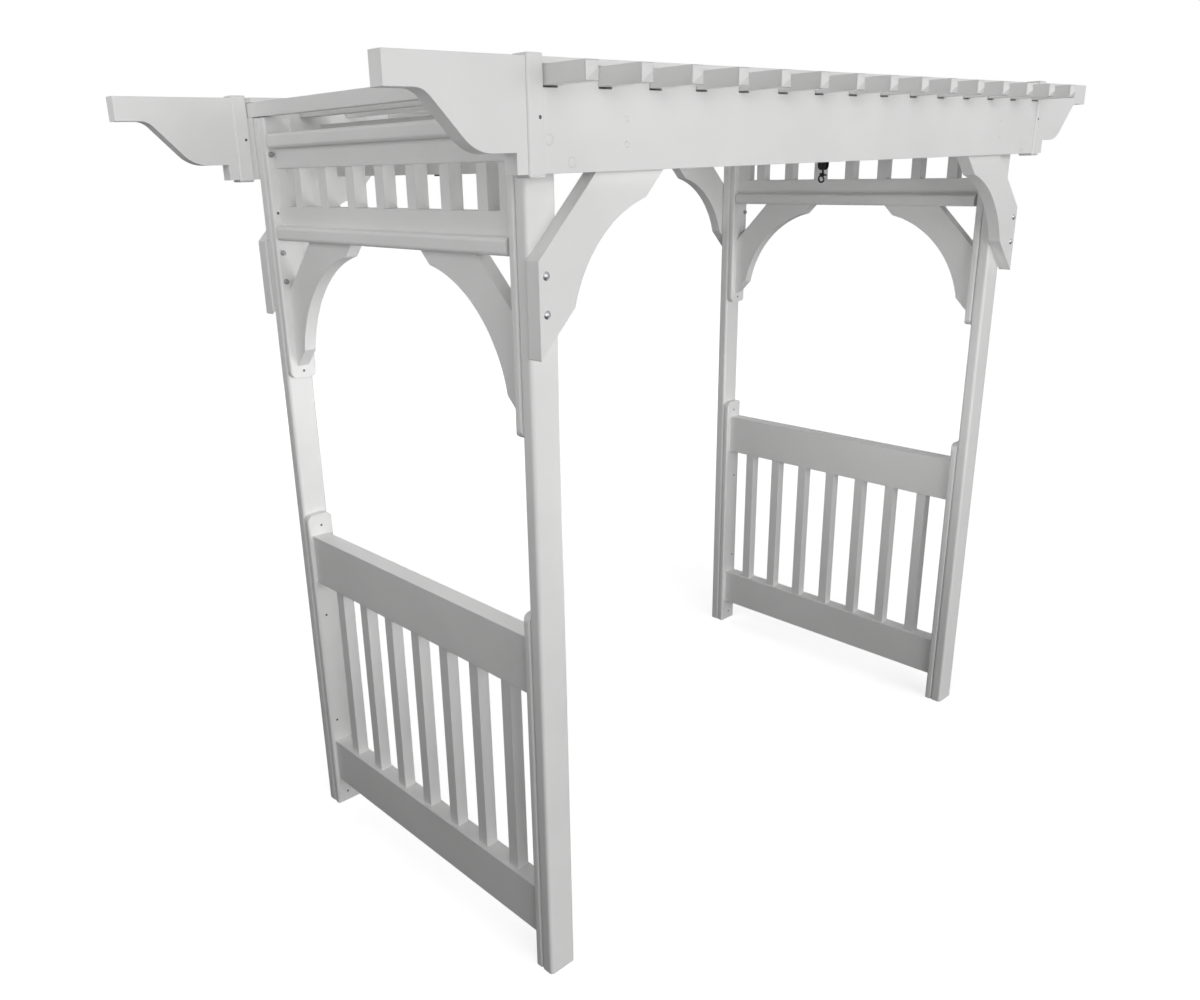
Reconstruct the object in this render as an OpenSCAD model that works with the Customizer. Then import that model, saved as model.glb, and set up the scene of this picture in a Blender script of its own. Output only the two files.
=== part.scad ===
// Swing arbor: four flat posts, two side panels, beams with scroll ends and a slatted roof.
// Origin on the ground under the middle of the roof, X along the beams, Y to the back, Z up.

/* [Overall] */
// Roof slats, counted along the beams
slat_count = 15; // [9:1:17]
// Distance from one roof slat to the next
slat_pitch = 158; // [140:1:170]
// Outer face of the front posts to outer face of the back posts
span_y = 1198; // [1160:1:1400]
// Ground to the top edge of the beams
beam_top = 2354; // [2330:1:2500]

/* [Boards] */
// Thickness of the posts, beams, braces and ledges
board_t = 40.5; // [36:0.5:42]
// Width of the posts and of all that is flush with them
post_w = 88.9; // [84:0.1:100]
// Rounding of the long edges of the posts, ledges and top boards
post_round = 10; // [3:0.5:12]
// Rounding of the long edges of the stiles
stile_round = 7; // [2:0.5:9]
// Thickness of the panel stiles screwed to the posts
stile_t = 25; // [22:0.5:30]
// Square size of the balusters, and thickness of the corner brackets
baluster_w = 38; // [32:0.5:38]

/* [Beams] */
// Height of the beams
beam_h = 224; // [215:1:232]
// Thickness of the inner ledger that carries the slats
ledger_t = 26.5; // [22:0.5:34]
// Tip of the scroll to the outer side of the post
scroll_reach = 386; // [380:1:450]
// Length of the flat nose under the tip
nose_len = 67; // [45:1:74]
// Height of the scroll at its tip
nose_h = 63; // [50:1:75]
// Radius of the hollow behind the nose
hollow_r = 50; // [30:1:54]
// Radius of the round belly before the lip
belly_r = 98; // [70:1:104]
// Drop from the belly to the foot of the lip
lip_drop = 42.5; // [36:0.5:55]
// Lip to the outer side of the post
lip_out = 77; // [70:1:90]

/* [Collars] */
// Width of the collar over each scroll joint
collar_w = 46; // [40:1:56]
// How far the collar stands out of the beam's faces
collar_proud = 5; // [3:0.5:8]
// How far the collar stands above and below the beam
collar_rise = 7; // [4:0.5:10]
// Rounding of the collar's edges
collar_round = 7; // [2:0.5:8]
// Gap between the collar and the outer side of the post
collar_gap = 2; // [1:0.5:6]

/* [Roof slats] */
// Width of a roof slat
slat_w = 38; // [34:0.5:45]
// Height of a roof slat
slat_h = 39; // [30:0.5:42]
// Top of the slats below the top edge of the beams
slat_drop = 14.5; // [10:0.5:20]
// Space left under each slat in the outer board
slot_gap = 4; // [3:0.5:10]
// Slat body beyond the face of the beam
slat_overhang = 120; // [60:1:180]
// Height of the pyramid on each slat end
cap_h = 12; // [6:0.5:18]

/* [Arch braces] */
// Brace along the underside of the beam
brace_reach = 398; // [370:1:420]
// Brace down the face of the post
brace_drop = 394; // [370:1:420]
// Corner cut between post and beam, along each side
brace_corner = 178; // [140:1:190]
// Cut at the brace's upper end
brace_top_cut = 60; // [45:1:70]
// Cut at the brace's foot
brace_foot_cut = 107; // [90:1:115]
// Radius of the brace's arch
brace_r = 323; // [290:1:420]
// How far the brace stands outside the post
brace_proud = 5; // [1:0.5:8]

/* [Upper panels] */
// Top edge of the beams down to the underside of the ledge
ledge_drop = 397; // [386:1:420]
// Height of the panel with its ledge and its top board
upper_h = 297; // [280:0.5:305]
// Height of the upper panel's rails
upper_rail_h = 55; // [44:1:60]
// Thickness of the upper panel's rails
upper_rail_t = 44; // [38:0.5:44]
// Gap between a ledge's end and the stile
ledge_gap = 7.5; // [3:0.5:12]
// Depth of the end member beside each stile
end_member = 53; // [38:1:58]
// Balusters in each panel
baluster_count = 7; // [3:1:7]
// Distance from one baluster to the next
baluster_pitch = 140; // [110:1:142]
// Top edge of the beams down to the lower end of the upper stiles
stile_drop = 813; // [806:1:850]
// Rounding of the stile's lower corners
stile_foot_r = 23; // [10:1:30]

/* [Corner brackets] */
// Bracket along the underside of the ledge
bracket_reach = 372; // [340:1:390]
// Bracket down the face of the stile
bracket_drop = 378; // [350:1:385]
// Corner cut between stile and ledge, along each side
bracket_corner = 150; // [120:1:156]
// Cut at the bracket's upper end
bracket_top_cut = 36; // [24:1:44]
// Cut at the bracket's foot
bracket_foot_cut = 53; // [40:1:60]
// Radius of the bracket's arch
bracket_r = 367; // [330:1:450]

/* [Lower panels] */
// Ground to the underside of the bottom rail
low_rail_z = 101; // [60:1:120]
// Height of the bottom rail
low_rail_h = 151; // [120:1:160]
// Ground to the underside of the top rail
high_rail_z = 858; // [780:1:870]
// Height of the top rail
high_rail_h = 161; // [140:1:165]
// Thickness of the lower panel's rails
lower_rail_t = 57; // [50:0.5:62]
// Outer side of the post to the face of the lower rails
lower_rail_in = 12; // [8:0.5:18]
// Ground to the top of the lower stiles
low_stile_top = 1090; // [1080:1:1140]
// Rounding of the lower stile's top corners
low_stile_r = 25; // [10:1:30]

/* [Swing hangers] */
// Outer side of the posts to the swing hangers
hanger_in = 243; // [220:1:320]
// Height of the joists that carry the hangers
joist_h = 150; // [120:1:165]
// Width of the hanger's ears
ear_w = 33; // [28:0.5:40]
// Thickness of one ear
ear_t = 4; // [3:0.5:6]
// Distance from the joist down to the hanger's pin
pin_drop = 22; // [20:0.5:30]
// Diameter of the hanger's pin
pin_d = 8; // [6:0.5:9]
// Pin down to the middle of the snap hook's loop
loop_drop = 48; // [46:0.5:60]
// Thickness of the hook's wire
wire_d = 6; // [5:0.5:6.5]

/* [Fasteners] */
// Diameter of the carriage bolts
bolt_d = 8; // [6:0.5:9]
// Diameter of the carriage bolts' round heads
bolt_head_d = 20; // [17:0.5:21]
// Diameter of the plugs over the beam bolts
plug_d = 22; // [21.5:0.5:26]
// Diameter of the screw heads
screw_head_d = 8; // [6:0.5:9]

/* [Hidden] */
$fn = 48;
clear = 0.25;
span_x = (slat_count - 1) * slat_pitch + slat_w;
beam_z = beam_top - beam_h;
beam_t = board_t + ledger_t;
slat_z = beam_top - slat_drop - slat_h;
ledge_z = beam_top - ledge_drop;
stile_foot_z = beam_top - stile_drop;
slat_len = span_y + 2 * (beam_t + slat_overhang);
slot_side = 1.2;
post_top = slat_z - 3;
post_mid = post_w / 2;
stile_y = board_t + stile_t;
panel_len = span_y - 2 * stile_y;
ledge_top = ledge_z + board_t;
upper_top = ledge_z + upper_h;
upper_high_rail = upper_top - board_t - upper_rail_h;
bar_in = post_mid - baluster_w / 2;
scroll_joint = collar_gap + collar_w / 2;
dowel_d = 12;
dowel_len = 30;
dowel_z = [55, 165];
plug_bore = 12;
plug_len = 6.5;
plug_rise = 1.2;
beam_bolts = [[12.5, 67], [post_w - 12.5, 21.5]];
brace_bolt_x = 17;
brace_bolts = [-210, -294];
bolt_head_h = 5;
washer_d = bolt_d * 2;
washer_t = 1.6;
nut_af = bolt_d * 1.625;
nut_h = bolt_d * 0.8;
nut_face = nut_af * 0.48;
nut_chamfer = 30;
bolt_end = washer_t + nut_h + 3;
screw_d = 4.2;
screw_hole = screw_d / 2 + clear / 2;
screw_head_h = 1.4;
recess_l = screw_head_d * 0.56;
recess_w = 1.2;
recess_deep = 0.8;
stile_screw_len = stile_t + 25;
stile_screws = [
    [post_mid, stile_foot_z + 21], [15, ledge_top + 36.5],
    [post_mid + 2.5, low_stile_top - 40], [30, 732], [27, 331], [39, 35]];
rail_screw_len = stile_t + 45;
rail_screw_x = lower_rail_in + lower_rail_t / 2;
rail_screws = concat(
    [for (z = [ledge_top, upper_high_rail]) [post_mid, z + upper_rail_h / 2]],
    [for (k = [0.25, 0.75]) [rail_screw_x, low_rail_z + k * low_rail_h]],
    [for (k = [0.25, 0.75]) [rail_screw_x, high_rail_z + k * high_rail_h]]);
collar_screw = [-15.7, 110];
collar_screw_len = collar_proud + 16;
joist_screws = [55, 107];
joist_screw_len = beam_t + 22;
joist_plug_d = 13;
joist_plug_bore = 9;
joist_plug_len = 5;
joist_t = board_t;
hanger_x = span_x / 2 - hanger_in;
plate_t = 4;
plate_w = 36;
plate_l = 66;
lag_y = 24;
lag_len = 40;
hub_w = 15;
hub_r = pin_d / 2 + 4.5;
pin_clear = 0.05;
ear_gap = hub_w + 1;
ear_r = ear_w / 2;
pin_z = beam_z - pin_drop;
pin_out = 3;
loop_r = 12;
loop_y = 5;
loop_z = pin_z - loop_drop;
gate_angle = 108;
nose_angle = 196;
gate_y = loop_y + loop_r * cos(gate_angle);
gate_z = loop_z + loop_r * sin(gate_angle);
gate_t = 4;
gate_hub_r = 3.4;
gate_pin_d = 3;
gate_slack = 0.4;
cheek_t = 2.2;
cheek_r = 4.8;
cheek_gap = gate_t + 2 * gate_slack;
gate_nose = 2.6;
thumb_l = 15;
thumb_t = 3.4;
thumb_angle = 170;
white = [0.93, 0.93, 0.92];
steel = [0.55, 0.55, 0.57];
black = [0.1, 0.1, 0.11];

// Points of the arc from a to b that bulges to the left of the way from a to b
function arc(a, b, r, n) =
    let (way = b - a, len = norm(way), right = [way.y, -way.x] / len)
    let (centre = (a + b) / 2 + right * sqrt(r * r - len * len / 4))
    let (start = atan2(a.y - centre.y, a.x - centre.x), turn = 2 * asin(len / 2 / r))
    [for (i = [0:n]) centre + r * [cos(start - turn * i / n), sin(start - turn * i / n)]];

function backwards(list) = [for (i = [len(list) - 1:-1:0]) list[i]];

module flip_x(on) {
    if (on) mirror([1, 0, 0]) children();
    else children();
}

module flip_y(on) {
    if (on) mirror([0, 1, 0]) children();
    else children();
}

// Places what is drawn inward from the outer corner of a post: x along the beam, y to the inside
module corner(right, back) flip_x(right) flip_y(back)
    translate([-span_x / 2, -span_y / 2, 0]) children();

module all_corners()
    for (right = [false, true], back = [false, true]) corner(right, back) children();

module along_y(r, y0, y1) translate([0, y0, 0]) rotate([-90, 0, 0]) cylinder(r = r, h = y1 - y0);

module along_x(r, len) rotate([0, 90, 0]) cylinder(r = r, h = len, center = true);

// Bar section with rounded corners
module round_bar(w, d, r) {
    translate([r, 0]) square([w - 2 * r, d]);
    translate([0, r]) square([w, d - 2 * r]);
    for (x = [r, w - r], y = [r, d - r]) translate([x, y]) circle(r);
}

// Round cap of a sphere, standing up from the ground
module dome(d, h) {
    r = (d * d / 4 + h * h) / 2 / h;
    intersection() {
        translate([0, 0, h - r]) sphere(r);
        cylinder(d = d, h = h);
    }
}

module beam_bolt_places() for (b = beam_bolts) translate([b.x, 0, beam_z + b.y]) children();

module brace_bolt_places()
    for (z = brace_bolts) translate([brace_bolt_x, 0, beam_z + z]) children();

// Holes for the bolts through beam or brace, post and stile
module bolt_holes() {
    beam_bolt_places() along_y(bolt_d / 2 + clear, -beam_t - 1, stile_y + 1);
    brace_bolt_places() along_y(bolt_d / 2 + clear, -beam_t - 1, stile_y + 1);
}

module stile_screw_places()
    for (s = stile_screws) translate([s.x, stile_y, s.y]) children();

module stile_screw_holes() stile_screw_places() along_y(screw_hole, -stile_screw_len - 1, 1);

module rail_screw_places()
    for (s = rail_screws) translate([s.x, board_t + screw_head_h, s.y]) children();

// Holes for the screws that run from behind the stile into the ends of the rails
module rail_screw_holes() rail_screw_places() {
    along_y(screw_hole, -1, rail_screw_len + 1);
    along_y(screw_head_d / 2 + clear, -screw_head_h - 1, 0);
}

module post(right, back) color(white) corner(right, back) difference() {
    linear_extrude(post_top) round_bar(post_w, board_t, post_round);
    bolt_holes();
    stile_screw_holes();
}

// Mortises for the roof slats, with the given space under each slat
module slat_slots(gap)
    for (i = [0:slat_count - 1])
        translate([(i - (slat_count - 1) / 2) * slat_pitch - slat_w / 2 - slot_side, -beam_t - 1, slat_z - gap])
            cube([slat_w + 2 * slot_side, beam_t + 2, slat_h + gap + slot_side]);

module joist_screw_places()
    for (right = [false, true], z = joist_screws)
        flip_x(right) translate([-hanger_x, -beam_t, beam_z + z]) children();

module joist_screw_holes() joist_screw_places() {
    along_y(screw_hole, joist_plug_bore - 1, joist_plug_bore + joist_screw_len + 1);
    along_y(joist_plug_d / 2 + clear / 2, -1, joist_plug_bore);
}

module beam(back) color(white) flip_y(back) translate([0, -span_y / 2, 0]) difference() {
    translate([-span_x / 2 - scroll_joint, -beam_t, beam_z])
        cube([span_x + 2 * scroll_joint, board_t, beam_h]);
    slat_slots(slot_gap);
    joist_screw_holes();
    for (right = [false, true]) flip_x(right) translate([-span_x / 2, 0, 0]) {
        bolt_holes();
        beam_bolt_places() along_y(plug_d / 2 + clear / 2, -beam_t - 1, -beam_t + plug_bore);
        collar_screw_holes();
        dowels(clear);
    }
}

module ledger(back) color(white) flip_y(back) translate([0, -span_y / 2, 0]) difference() {
    translate([-span_x / 2, -ledger_t, beam_z]) cube([span_x, ledger_t, beam_h]);
    slat_slots(0);
    joist_screw_holes();
    for (right = [false, true]) flip_x(right) translate([-span_x / 2, 0, 0]) bolt_holes();
}

// Side view of a scroll end from the top of the beam, the tip at -x
function scroll_outline() =
    let (slope_x = hollow_r * sin(45), slope_z = hollow_r * (1 - cos(45)))
    let (nose = [-scroll_reach + nose_len, -nose_h], slope_top = nose + [slope_x, -slope_z])
    let (belly_z = -beam_h + lip_drop, belly_top = belly_z + belly_r * (1 - cos(45)))
    let (slope_foot = [slope_top.x + slope_top.y - belly_top, belly_top])
    let (belly_end = [slope_foot.x + belly_r * sin(45), belly_z])
    concat([[-scroll_joint, 0], [-scroll_reach, 0], [-scroll_reach, -nose_h]],
        arc(nose, slope_top, hollow_r, 10), backwards(arc(belly_end, slope_foot, belly_r, 14)),
        [[-lip_out, belly_z], [-lip_out, -beam_h], [-scroll_joint, -beam_h]]);

// Dowels that hold a scroll to the end of its beam
module dowels(extra = 0)
    for (z = dowel_z) translate([-scroll_joint, -ledger_t - board_t / 2, beam_z + z])
        along_x(dowel_d / 2 + extra, 2 * (dowel_len + extra));

module scroll(right, back) color(white) corner(right, back) union() {
    translate([0, -ledger_t, beam_top]) rotate([90, 0, 0])
        linear_extrude(board_t) polygon(scroll_outline());
    dowels();
}

// Places of the two screws in a collar, one in each face
module collar_screw_places()
    translate([collar_screw.x, -ledger_t - board_t / 2, beam_z + collar_screw.y])
        for (inner = [false, true]) flip_y(inner)
            translate([0, -board_t / 2 - collar_proud, 0]) children();

module collar_screw_holes() collar_screw_places() along_y(screw_hole, -1, collar_screw_len + 1);

// Block with rounded edges around the end of a beam
module collar_block() intersection() {
    collar_d = board_t + 2 * collar_proud;
    collar_h = beam_h + 2 * collar_rise;
    linear_extrude(collar_h) round_bar(collar_w, collar_d, collar_round);
    translate([0, collar_d, 0]) rotate([90, 0, 0]) linear_extrude(collar_d)
        round_bar(collar_w, collar_h, collar_round);
    rotate([90, 0, 90]) linear_extrude(collar_w) round_bar(collar_d, collar_h, collar_round);
}

module collars(back) color(white) for (right = [false, true]) corner(right, back) difference() {
    translate([-collar_gap - collar_w, -beam_t - collar_proud, beam_z - collar_rise]) collar_block();
    translate([-collar_gap - collar_w - 1, -beam_t, beam_z]) cube([collar_w + 2, board_t, beam_h]);
    collar_screw_holes();
}

// Knee with a hollow arch: its corner at the origin, one leg along x and one down
module knee(reach, drop, corner_cut, top_cut, foot_cut, r) polygon(concat(
    [[0, -drop], [0, -corner_cut], [corner_cut, 0], [reach, 0]],
    backwards(arc([foot_cut, foot_cut - drop], [reach - top_cut, -top_cut], r, 20))));

module brace(right, back) color(white) corner(right, back) difference() {
    translate([-brace_proud, 0, beam_z]) rotate([90, 0, 0]) linear_extrude(board_t)
        knee(brace_reach, brace_drop, brace_corner, brace_top_cut, brace_foot_cut, brace_r);
    bolt_holes();
}

module slat_place(i) translate([(i - (slat_count - 1) / 2) * slat_pitch, 0, slat_z]) children();

module roof_slats(first, last) color(white) for (i = [first:last])
    slat_place(i) translate([-slat_w / 2, -slat_len / 2, 0]) cube([slat_w, slat_len, slat_h]);

// Ridge along z, its top at -y
module wedge(w, d) linear_extrude(d, center = true)
    polygon([[-w / 2, 0], [w / 2, 0], [0, -cap_h]]);

module slat_caps() color(white)
    for (i = [0:slat_count - 1], back = [false, true])
        slat_place(i) flip_y(back) translate([0, -slat_len / 2, slat_h / 2]) intersection() {
            wedge(slat_w, slat_h);
            rotate([0, 90, 0]) wedge(slat_h, slat_w);
        }

// Stile with two rounded corners at its free end, which is at the bottom
module stile_board(len, r) intersection() {
    translate([0, board_t, 0]) linear_extrude(len) round_bar(post_w, stile_t, stile_round);
    translate([0, stile_y, 0]) rotate([90, 0, 0]) linear_extrude(stile_t) union() {
        translate([0, r]) square([post_w, len - r]);
        translate([r, 0]) square([post_w - 2 * r, r]);
        for (x = [r, post_w - r]) translate([x, r]) circle(r);
    }
}

module upper_stile(right, back) color(white) corner(right, back) difference() {
    translate([0, 0, stile_foot_z]) stile_board(post_top - stile_foot_z, stile_foot_r);
    bolt_holes();
    stile_screw_holes();
    rail_screw_holes();
}

module lower_stile(right, back) color(white) corner(right, back) difference() {
    translate([0, 0, low_stile_top]) mirror([0, 0, 1]) stile_board(low_stile_top, low_stile_r);
    stile_screw_holes();
    rail_screw_holes();
}

// Board from stile to stile, x inward from the outer side of the posts
module cross(right, x, z, t, h) flip_x(right)
    translate([-span_x / 2 + x, -panel_len / 2, z]) cube([t, panel_len, h]);

// Board of the same section as a post, laid flat between the stiles
module flat_board(right, z) color(white) flip_x(right)
    translate([-span_x / 2, panel_len / 2 - ledge_gap, z]) rotate([90, 0, 0])
        linear_extrude(panel_len - 2 * ledge_gap) round_bar(post_w, board_t, post_round);

module upper_rails(right) color(white) difference() {
    for (z = [ledge_top, upper_high_rail])
        cross(right, post_mid - upper_rail_t / 2, z, upper_rail_t, upper_rail_h);
    for (back = [false, true]) corner(right, back) rail_screw_holes();
}

module lower_rails(right) color(white) difference() {
    union() {
        cross(right, lower_rail_in, low_rail_z, lower_rail_t, low_rail_h);
        cross(right, lower_rail_in, high_rail_z, lower_rail_t, high_rail_h);
    }
    for (back = [false, true]) corner(right, back) rail_screw_holes();
}

module balusters(right, z0, z1) flip_x(right)
    for (i = [0:baluster_count - 1])
        translate([bar_in - span_x / 2, (i - (baluster_count - 1) / 2) * baluster_pitch - baluster_w / 2, z0])
            cube([baluster_w, baluster_w, z1 - z0]);

module upper_balusters(right) color(white) {
    balusters(right, ledge_top + upper_rail_h, upper_high_rail);
    for (back = [false, true]) corner(right, back)
        translate([bar_in, stile_y, ledge_top + upper_rail_h])
            cube([baluster_w, end_member, upper_high_rail - ledge_top - upper_rail_h]);
}

module lower_balusters(right) color(white) balusters(right, low_rail_z + low_rail_h, high_rail_z);

module bracket(right, back) color(white) corner(right, back)
    translate([bar_in, stile_y, ledge_z]) rotate([90, 0, 90]) linear_extrude(baluster_w)
        knee(bracket_reach, bracket_drop, bracket_corner, bracket_top_cut, bracket_foot_cut, bracket_r);

module swing_joist(right) color(white) difference() {
    flip_x(right) translate([-hanger_x - joist_t / 2, -span_y / 2, beam_z])
        cube([joist_t, span_y, joist_h]);
    for (back = [false, true]) flip_y(back) translate([0, -span_y / 2, 0]) joist_screw_holes();
    lag_holes(right);
}

// Places where a hanger plate is screwed up into its joist
module lag_places(right) flip_x(right)
    for (y = [-lag_y, lag_y]) translate([-hanger_x, y, beam_z - plate_t]) rotate([90, 0, 0]) children();

module lag_holes(right) lag_places(right) along_y(screw_hole, -1, lag_len + 1);

// Moves what is drawn around a hanger's pin to the left or right side
module at_pin(right) flip_x(right) translate([-hanger_x, 0, pin_z]) children();

// Plate with two round-ended ears and the pin on which the hook swings
module hanger(right) color(black) union() {
    difference() {
        at_pin(right) translate([-plate_w / 2, -plate_l / 2, pin_drop - plate_t])
            cube([plate_w, plate_l, plate_t]);
        lag_holes(right);
    }
    at_pin(right) {
        for (x = [-ear_gap / 2 - ear_t, ear_gap / 2]) translate([x, 0, 0]) {
            rotate([0, 90, 0]) cylinder(r = ear_r, h = ear_t);
            translate([0, -ear_r, 0]) cube([ear_t, ear_w, pin_drop - plate_t]);
        }
        along_x(pin_d / 2, ear_gap + 2 * (ear_t + pin_out));
    }
}

// Open loop of wire from the hook's nose round to its cheeks
module loop() translate([0, loop_y, loop_z - pin_z]) rotate([90, 0, 90]) rotate([0, 0, nose_angle])
    rotate_extrude(angle = 435 - nose_angle) translate([loop_r, 0]) circle(d = wire_d);

// Snap hook: eye on the pin, stem, forked cheeks with the gate's pin, and loop
module hook(right) color(black) at_pin(right) {
    gate_drop = gate_z - pin_z;
    difference() {
        union() {
            along_x(hub_r, hub_w);
            translate([0, 0, gate_drop]) cylinder(d = wire_d + 2, h = -gate_drop);
            translate([-cheek_gap / 2 - cheek_t, -cheek_r, gate_drop])
                cube([cheek_gap + 2 * cheek_t, gate_y + 3 * cheek_r, cheek_r + 5]);
            translate([0, gate_y, gate_drop]) along_x(cheek_r, cheek_gap + 2 * cheek_t);
            loop();
        }
        along_x(pin_d / 2 + pin_clear, hub_w + 2);
        translate([-cheek_gap / 2, gate_y - 3 * cheek_r, gate_drop - cheek_r - 1])
            cube([cheek_gap, 4 * cheek_r, 2 * cheek_r + 1.5]);
    }
    translate([0, gate_y, gate_drop]) along_x(gate_pin_d / 2, cheek_gap + 2 * cheek_t + 1);
}

// Spring gate: hub on its pin, bar down to the nose, and thumb lever on the outside
module hook_gate(right) color(black) at_pin(right) {
    nose = [loop_y + loop_r * cos(nose_angle), loop_z + loop_r * sin(nose_angle)];
    way = nose - [gate_y, gate_z];
    translate([-gate_t / 2, gate_y, gate_z - pin_z]) rotate([90, 0, 90]) linear_extrude(gate_t)
        difference() {
            union() {
                circle(gate_hub_r);
                rotate(atan2(way.y, way.x)) translate([0, -gate_t / 2])
                    square([norm(way) - gate_nose, gate_t]);
                rotate(thumb_angle) translate([0, -thumb_t / 2]) square([thumb_l, thumb_t]);
                rotate(thumb_angle) translate([thumb_l, 0]) circle(thumb_t * 0.8);
            }
            circle(gate_pin_d / 2 + pin_clear);
        }
}

module carriage_bolt(y0) {
    along_y(bolt_d / 2, y0 - 1, stile_y + bolt_end);
    translate([0, y0, 0]) rotate([90, 0, 0]) dome(bolt_head_d, bolt_head_h);
}

module carriage_bolts() color(steel) all_corners() {
    beam_bolt_places() carriage_bolt(-beam_t + plug_bore);
    brace_bolt_places() carriage_bolt(-board_t);
}

module nut_and_washer() translate([0, stile_y, 0]) rotate([-90, 0, 0]) difference() {
    union() {
        cylinder(d = washer_d, h = washer_t);
        translate([0, 0, washer_t]) intersection() {
            cylinder(d = nut_af / cos(30), h = nut_h, $fn = 6);
            cylinder(r1 = nut_face + nut_h / tan(nut_chamfer), r2 = nut_face, h = nut_h);
        }
    }
    translate([0, 0, -1]) cylinder(r = bolt_d / 2 + pin_clear, h = washer_t + nut_h + 2);
}

module nuts_and_washers() color(steel) all_corners() {
    beam_bolt_places() nut_and_washer();
    brace_bolt_places() nut_and_washer();
}

// Plug with a low dome, driven along y with its dome at y = 0
module plug(d, len) {
    along_y(d / 2, 0, len);
    rotate([90, 0, 0]) dome(d, plug_rise);
}

module bolt_plugs() color(white) {
    all_corners() beam_bolt_places() translate([0, -beam_t, 0]) plug(plug_d, plug_len);
    for (back = [false, true]) flip_y(back)
        translate([0, -span_y / 2, 0]) joist_screw_places() plug(joist_plug_d, joist_plug_len);
}

// Round-headed screw driven along y, its head with a cross recess against y = 0
module screw(len) difference() {
    union() {
        along_y(screw_d / 2, -0.5, len);
        rotate([90, 0, 0]) dome(screw_head_d, screw_head_h);
    }
    for (turn = [0, 90]) rotate([0, turn, 0]) translate([0, -screw_head_h, 0])
        cube([recess_l, 2 * recess_deep, recess_w], center = true);
}

module wood_screws() color(steel) {
    all_corners() {
        stile_screw_places() mirror([0, 1, 0]) screw(stile_screw_len);
        collar_screw_places() screw(collar_screw_len);
    }
    for (back = [false, true]) flip_y(back)
        translate([0, -span_y / 2 + joist_plug_bore, 0]) joist_screw_places() screw(joist_screw_len);
    for (right = [false, true]) lag_places(right) screw(lag_len);
}

module rail_screw_set() color(steel) all_corners() rail_screw_places() screw(rail_screw_len);

third = floor(slat_count / 3);

post(false, false);  // front_left_post
post(true, false);  // front_right_post
post(false, true);  // back_left_post
post(true, true);  // back_right_post
beam(false);  // front_beam
beam(true);  // back_beam
ledger(false);  // front_ledger
ledger(true);  // back_ledger
scroll(false, false);  // front_left_scroll
scroll(true, false);  // front_right_scroll
scroll(false, true);  // back_left_scroll
scroll(true, true);  // back_right_scroll
collars(false);  // front_collars
collars(true);  // back_collars
brace(false, false);  // front_left_brace
brace(true, false);  // front_right_brace
brace(false, true);  // back_left_brace
brace(true, true);  // back_right_brace
roof_slats(0, third - 1);  // left_roof_slats
roof_slats(third, slat_count - third - 1);  // middle_roof_slats
roof_slats(slat_count - third, slat_count - 1);  // right_roof_slats
slat_caps();
upper_stile(false, false);  // front_left_upper_stile
upper_stile(true, false);  // front_right_upper_stile
upper_stile(false, true);  // back_left_upper_stile
upper_stile(true, true);  // back_right_upper_stile
flat_board(false, ledge_z);  // left_ledge
flat_board(true, ledge_z);  // right_ledge
flat_board(false, upper_top - board_t);  // left_top_board
flat_board(true, upper_top - board_t);  // right_top_board
upper_rails(false);  // left_upper_rails
upper_rails(true);  // right_upper_rails
upper_balusters(false);  // left_upper_balusters
upper_balusters(true);  // right_upper_balusters
bracket(false, false);  // front_left_bracket
bracket(true, false);  // front_right_bracket
bracket(false, true);  // back_left_bracket
bracket(true, true);  // back_right_bracket
lower_stile(false, false);  // front_left_lower_stile
lower_stile(true, false);  // front_right_lower_stile
lower_stile(false, true);  // back_left_lower_stile
lower_stile(true, true);  // back_right_lower_stile
lower_rails(false);  // left_lower_rails
lower_rails(true);  // right_lower_rails
lower_balusters(false);  // left_lower_balusters
lower_balusters(true);  // right_lower_balusters
swing_joist(false);  // left_swing_joist
swing_joist(true);  // right_swing_joist
hanger(false);  // left_hanger
hanger(true);  // right_hanger
hook(false);  // left_hook
hook(true);  // right_hook
hook_gate(false);  // left_hook_gate
hook_gate(true);  // right_hook_gate
carriage_bolts();
nuts_and_washers();
bolt_plugs();
wood_screws();
rail_screw_set();  // rail_screws
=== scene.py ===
import math

import bpy
import numpy as np
from mathutils import Matrix, Vector

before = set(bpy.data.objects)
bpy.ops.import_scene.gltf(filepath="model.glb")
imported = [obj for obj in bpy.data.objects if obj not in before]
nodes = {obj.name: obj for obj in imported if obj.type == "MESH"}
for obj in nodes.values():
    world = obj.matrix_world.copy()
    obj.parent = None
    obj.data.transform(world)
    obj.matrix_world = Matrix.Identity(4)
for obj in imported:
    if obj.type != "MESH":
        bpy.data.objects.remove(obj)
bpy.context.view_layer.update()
print("frame loaded:", len(nodes), "nodes")

paintLook = {
    "colour": (0.83, 0.83, 0.825),
    "shade": (0.79, 0.79, 0.785),
    "roughness": (0.37, 0.50),    # in the grain's valleys and on its ridges
    "specular": 0.4,
    "grainStretch": 14.0,     # how much longer the grain is than wide
    "grainScale": 60.0,
    "grainHeight": 0.00012,   # metres
    "grainStrength": 0.6,
    "grainTint": 0.35,        # share of the grain in the step from shade to colour
    "cloudScale": 3.5,
    "cloudRange": (0.35, 0.65),
    "edgeRound": 0.0022,      # soft edge of the boards, metres
    "edgeSamples": 4,
}


def addNode(tree, kind, **inputs):
    node = tree.nodes.new(kind)
    for name, value in inputs.items():
        node.inputs[name.replace("_", " ")].default_value = value
    return node


def newMaterial(name):
    material = bpy.data.materials.new(name)
    material.use_nodes = True
    tree = material.node_tree
    return material, tree, tree.nodes["Principled BSDF"]


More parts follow.
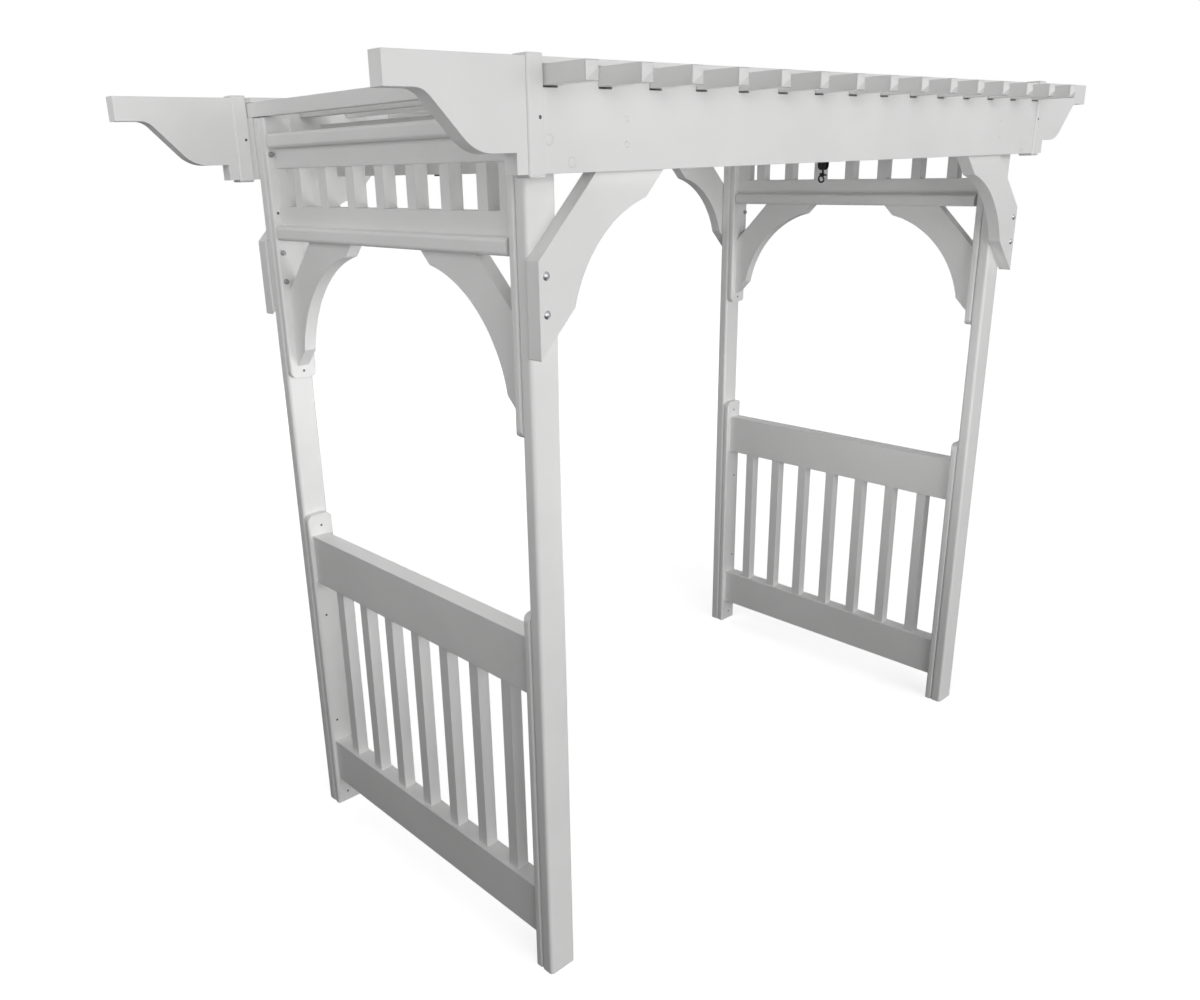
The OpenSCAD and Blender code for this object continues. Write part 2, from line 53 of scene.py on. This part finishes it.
def paintMaterial(name, along):
    # white coating over boards: faint grain drawn out along the board, slight clouding of colour
    look = paintLook
    material, tree, shader = newMaterial(name)
    place = tree.nodes.new("ShaderNodeTexCoord")
    stretch = addNode(tree, "ShaderNodeMapping")
    stretch.inputs["Scale"].default_value = [
        1 / look["grainStretch"] if axis == along else 1.0 for axis in "XYZ"]
    grain = addNode(tree, "ShaderNodeTexNoise", Scale=look["grainScale"], Detail=5.0, Roughness=0.6)
    cloud = addNode(tree, "ShaderNodeTexNoise", Scale=look["cloudScale"], Detail=3.0)
    tint = tree.nodes.new("ShaderNodeMix")
    tint.data_type = "RGBA"
    tint.inputs["A"].default_value = (*look["shade"], 1)
    tint.inputs["B"].default_value = (*look["colour"], 1)
    cloudLow, cloudHigh = look["cloudRange"]
    level = addNode(tree, "ShaderNodeMapRange", From_Min=cloudLow, From_Max=cloudHigh)
    blend = tree.nodes.new("ShaderNodeMath")
    blend.operation = "MULTIPLY_ADD"
    blend.inputs[1].default_value = look["grainTint"]
    smooth, rough = look["roughness"]
    gloss = addNode(tree, "ShaderNodeMapRange", To_Min=smooth, To_Max=rough)
    soft = addNode(tree, "ShaderNodeBevel", Radius=look["edgeRound"])
    soft.samples = look["edgeSamples"]
    bump = addNode(tree, "ShaderNodeBump", Strength=look["grainStrength"],
                   Distance=look["grainHeight"])
    link = tree.links.new
    link(place.outputs["Object"], stretch.inputs["Vector"])
    link(stretch.outputs["Vector"], grain.inputs["Vector"])
    link(place.outputs["Object"], cloud.inputs["Vector"])
    link(cloud.outputs["Fac"], level.inputs["Value"])
    link(grain.outputs["Fac"], blend.inputs[0])
    link(level.outputs["Result"], blend.inputs[2])
    link(blend.outputs["Value"], tint.inputs["Factor"])
    link(tint.outputs["Result"], shader.inputs["Base Color"])
    link(grain.outputs["Fac"], gloss.inputs["Value"])
    link(gloss.outputs["Result"], shader.inputs["Roughness"])
    link(grain.outputs["Fac"], bump.inputs["Height"])
    link(soft.outputs["Normal"], bump.inputs["Normal"])
    link(bump.outputs["Normal"], shader.inputs["Normal"])
    shader.inputs["Specular IOR Level"].default_value = look["specular"]
    return material


metalLook = {   # speckle is the darker colour between, gloss the range of roughness
    "zinc": {"colour": (0.42, 0.42, 0.43), "speckle": (0.31, 0.31, 0.32),
             "gloss": (0.30, 0.52), "metallic": 1.0},
    "dull": {"colour": (0.14, 0.14, 0.145), "speckle": (0.09, 0.09, 0.093),
             "gloss": (0.38, 0.60), "metallic": 0.8},
    "black": {"colour": (0.03, 0.03, 0.032), "speckle": (0.02, 0.02, 0.021),
              "gloss": (0.37, 0.59), "metallic": 0.6},
    "speckleScale": 900.0,
    "dentDepth": 0.0001,      # metres
    "dentStrength": 0.4,
}


def metalMaterial(name, look):
    # plated or coated steel: fine speckle in colour and gloss, small dents
    material, tree, shader = newMaterial(name)
    place = tree.nodes.new("ShaderNodeTexCoord")
    speckle = addNode(tree, "ShaderNodeTexNoise", Scale=metalLook["speckleScale"], Detail=3.0)
    smooth, rough = look["gloss"]
    gloss = addNode(tree, "ShaderNodeMapRange", To_Min=smooth, To_Max=rough)
    tint = tree.nodes.new("ShaderNodeMix")
    tint.data_type = "RGBA"
    tint.inputs["A"].default_value = (*look["speckle"], 1)
    tint.inputs["B"].default_value = (*look["colour"], 1)
    bump = addNode(tree, "ShaderNodeBump", Strength=metalLook["dentStrength"],
                   Distance=metalLook["dentDepth"])
    link = tree.links.new
    link(place.outputs["Object"], speckle.inputs["Vector"])
    link(speckle.outputs["Fac"], gloss.inputs["Value"])
    link(speckle.outputs["Fac"], tint.inputs["Factor"])
    link(tint.outputs["Result"], shader.inputs["Base Color"])
    link(gloss.outputs["Result"], shader.inputs["Roughness"])
    link(speckle.outputs["Fac"], bump.inputs["Height"])
    link(bump.outputs["Normal"], shader.inputs["Normal"])
    shader.inputs["Metallic"].default_value = look["metallic"]
    return material


paintX = paintMaterial("whiteBoardAlongX", "X")
paintY = paintMaterial("whiteBoardAlongY", "Y")
paintZ = paintMaterial("whiteBoardAlongZ", "Z")
zincSteel = metalMaterial("zincSteel", metalLook["zinc"])
dullSteel = metalMaterial("dullSteel", metalLook["dull"])
blackSteel = metalMaterial("blackSteel", metalLook["black"])

nodeFinish = [   # words in a node's name, and the finish of every node that has one of them
    (("hanger", "left_hook", "right_hook"), blackSteel),
    (("carriage_bolts", "nuts_and_washers"), zincSteel),
    (("wood_screws", "rail_screws"), dullSteel),
    (("beam", "ledger", "scroll", "bolt_plugs"), paintX),
    (("slat", "rails", "ledge", "top_board", "joist"), paintY),
    (("post", "stile", "baluster", "collar", "brace", "bracket"), paintZ),
]


def finishOf(name):
    for words, material in nodeFinish:
        if any(word in name for word in words):
            return material
    raise KeyError(name)


def dress(thing, material):
    thing.data.materials.clear()
    thing.data.materials.append(material)


for name, thing in nodes.items():
    dress(thing, finishOf(name))
print("materials on every node")

photoCamera = {
    "place": (-2.61756, -2.32214, 2.15641),
    "yaw": 0.7201,
    "pitch": -0.3343,
    "roll": -0.03192,
    "focal": 1020.75,         # in pixels of the 1200 x 1000 frame
    "centre": (542.42, 515.51),
    "frame": (1200, 1000),
    "sensorWidth": 36,        # millimetres
    "farthest": 200,          # metres
}


def makeCamera(look):
    width, height = look["frame"]
    yaw, pitch, roll = look["yaw"], look["pitch"], look["roll"]
    level = math.cos(pitch)
    ahead = Vector((math.sin(yaw) * level, math.cos(yaw) * level, math.sin(pitch)))
    right = Vector((math.cos(yaw), -math.sin(yaw), 0))
    up = right.cross(ahead)
    tilted = math.cos(roll) * right + math.sin(roll) * up
    upright = math.cos(roll) * up - math.sin(roll) * right
    camera = bpy.data.objects.new("photoCamera", bpy.data.cameras.new("photoCamera"))
    turn = Matrix((tilted, upright, -ahead)).transposed().to_4x4()
    camera.matrix_world = Matrix.Translation(look["place"]) @ turn
    camera.data.sensor_width = look["sensorWidth"]
    camera.data.lens = look["focal"] / width * look["sensorWidth"]
    camera.data.shift_x = (width / 2 - look["centre"][0]) / width
    camera.data.shift_y = (look["centre"][1] - height / 2) / width
    camera.data.clip_end = look["farthest"]
    bpy.context.scene.collection.objects.link(camera)
    bpy.context.scene.camera = camera


makeCamera(photoCamera)
print("camera set")

studio = {
    "floorSize": 60.0,
    "floorHeight": -0.001,    # just under the feet
    "floorRoughness": 0.9,
    "floorColour": (0.16, 0.16, 0.16),   # what the floor throws back at the object
    "floorShown": (0.8, 0.8, 0.8),       # what the camera sees of it, besides its glow
    "floorWhite": 1.015,      # brightness that lamps and glow together give the bare floor
    "floorLit": 0.34,         # brightness from the lamps alone, in the middle
    "lampReach": 4.5,         # metres from the middle to where the lamps give half of that
    "ambient": 0.0,
    "suns": {                 # strength, where from, width in degrees
        "frontSky": (1.2, (-0.3, -1.0, 0.1), 60),
    },
    "panels": {               # watts, place, what it points at, width and height
        "front": (272, (0.3, -7.5, 2.3), (0, 0, 1.6), (10.0, 4.0)),
        "frontLow": (6.5, (-3.5, -2.2, 0.15), (-0.5, 0, 2.2), (4.0, 3.0)),
        "frontRoof": (4.3, (-1.5, -4.5, 0.8), (0.5, 0, 2.2), (4.0, 1.2)),
        "left": (23, (-3.6, 0.4, 3.2), (0, 0, 2.2), (3.0, 1.6)),
        "back": (110, (1.5, 7.5, 2.6), (0, 0, 1.4), (8.0, 4.0)),
        "above": (112, (0, 0, 7.0), (0, 0, 0), (9.0, 7.0)),
        "leftRoof": (2.6, (-2.3, -0.1, 1.75), (-1.0, 0.1, 2.3), (1.8, 0.6)),
        "leftInside": (6.2, (-0.3, -0.5, 1.3), (-1.08, 0.15, 2.1), (0.8, 0.6)),
        "rightInside": (3.6, (0, -0.5, 1.2), (1.1, 0.1, 2.1), (0.8, 0.6)),
    },
}


def backdropShare(tree, rays):
    # 1 for the kinds of ray that see the plain backdrop, 0 for all others
    path = tree.nodes.new("ShaderNodeLightPath")
    share = path.outputs[rays[0]]
    for ray in rays[1:]:
        either = tree.nodes.new("ShaderNodeMath")
        either.operation = "MAXIMUM"
        tree.links.new(share, either.inputs[0])
        tree.links.new(path.outputs[ray], either.inputs[1])
        share = either.outputs["Value"]
    return share


def floorGlow(tree, look):
    # glow that tops the lamps' light up to white:
    # floorWhite - floorLit / (1 + (distance / lampReach)^2)
    place = tree.nodes.new("ShaderNodeTexCoord")
    far = tree.nodes.new("ShaderNodeVectorMath")
    far.operation = "LENGTH"
    tree.links.new(place.outputs["Object"], far.inputs[0])
    value = far.outputs["Value"]
    steps = [   # operation, its number, and whether the number comes first
        ("DIVIDE", look["lampReach"], False), ("POWER", 2.0, False), ("ADD", 1.0, False),
        ("DIVIDE", look["floorLit"], True), ("SUBTRACT", look["floorWhite"], True),
    ]
    for operation, number, numberFirst in steps:
        step = tree.nodes.new("ShaderNodeMath")
        step.operation = operation
        step.inputs[0 if numberFirst else 1].default_value = number
        tree.links.new(value, step.inputs[1 if numberFirst else 0])
        value = step.outputs["Value"]
    return value


def makeFloor(look):
    half = look["floorSize"] / 2
    corners = np.array([(-half, -half), (half, -half), (half, half), (-half, half)])
    mesh = bpy.data.meshes.new("floor")
    heights = np.full(len(corners), look["floorHeight"])
    mesh.from_pydata(np.column_stack([corners, heights]).tolist(), [], [(0, 1, 2, 3)])
    floor = bpy.data.objects.new("floor", mesh)
    bpy.context.scene.collection.objects.link(floor)
    material, tree, shader = newMaterial("paleFloor")
    shader.inputs["Base Color"].default_value = (*look["floorColour"], 1)
    shader.inputs["Roughness"].default_value = look["floorRoughness"]
    shown = addNode(tree, "ShaderNodeBsdfDiffuse")
    shown.inputs["Color"].default_value = (*look["floorShown"], 1)
    white = tree.nodes.new("ShaderNodeEmission")
    both = tree.nodes.new("ShaderNodeAddShader")
    mix = tree.nodes.new("ShaderNodeMixShader")
    tree.links.new(floorGlow(tree, look), white.inputs["Strength"])
    tree.links.new(shown.outputs["BSDF"], both.inputs[0])
    tree.links.new(white.outputs["Emission"], both.inputs[1])
    tree.links.new(backdropShare(tree, ["Is Camera Ray"]), mix.inputs["Fac"])
    tree.links.new(shader.outputs["BSDF"], mix.inputs[1])
    tree.links.new(both.outputs["Shader"], mix.inputs[2])
    tree.links.new(mix.outputs["Shader"], tree.nodes["Material Output"].inputs["Surface"])
    dress(floor, material)


def makeSun(name, strength, whence, width):
    lamp = bpy.data.lights.new(name, "SUN")
    lamp.energy = strength
    lamp.angle = math.radians(width)
    sun = bpy.data.objects.new(name, lamp)
    sun.matrix_world = Vector(whence).to_track_quat("Z", "Y").to_matrix().to_4x4()
    bpy.context.scene.collection.objects.link(sun)


def makePanel(name, power, place, aim, size):
    lamp = bpy.data.lights.new(name, "AREA")
    lamp.shape = "RECTANGLE"
    lamp.size, lamp.size_y = size
    lamp.energy = power
    panel = bpy.data.objects.new(name, lamp)
    turn = (Vector(aim) - Vector(place)).to_track_quat("-Z", "Y")
    panel.matrix_world = Matrix.Translation(place) @ turn.to_matrix().to_4x4()
    panel.visible_camera = False
    bpy.context.scene.collection.objects.link(panel)


def makeWorld(look):
    world = bpy.data.worlds.new("paleSky")
    world.use_nodes = True
    bpy.context.scene.world = world
    tree = world.node_tree
    light = tree.nodes["Background"]
    light.inputs["Color"].default_value = (1, 1, 1, 1)
    light.inputs["Strength"].default_value = look["ambient"]
    backdrop = addNode(tree, "ShaderNodeBackground", Strength=1.0)
    backdrop.inputs["Color"].default_value = (1, 1, 1, 1)
    mix = tree.nodes.new("ShaderNodeMixShader")
    share = backdropShare(tree, ["Is Camera Ray", "Is Glossy Ray", "Is Transmission Ray"])
    tree.links.new(share, mix.inputs["Fac"])
    tree.links.new(light.outputs["Background"], mix.inputs[1])
    tree.links.new(backdrop.outputs["Background"], mix.inputs[2])
    tree.links.new(mix.outputs["Shader"], tree.nodes["World Output"].inputs["Surface"])


makeFloor(studio)
makeWorld(studio)
for name, look in studio["suns"].items():
    makeSun(name, *look)
for name, look in studio["panels"].items():
    makePanel(name, *look)
bpy.context.scene.view_settings.view_transform = "Standard"
print("floor, backdrop and lights")
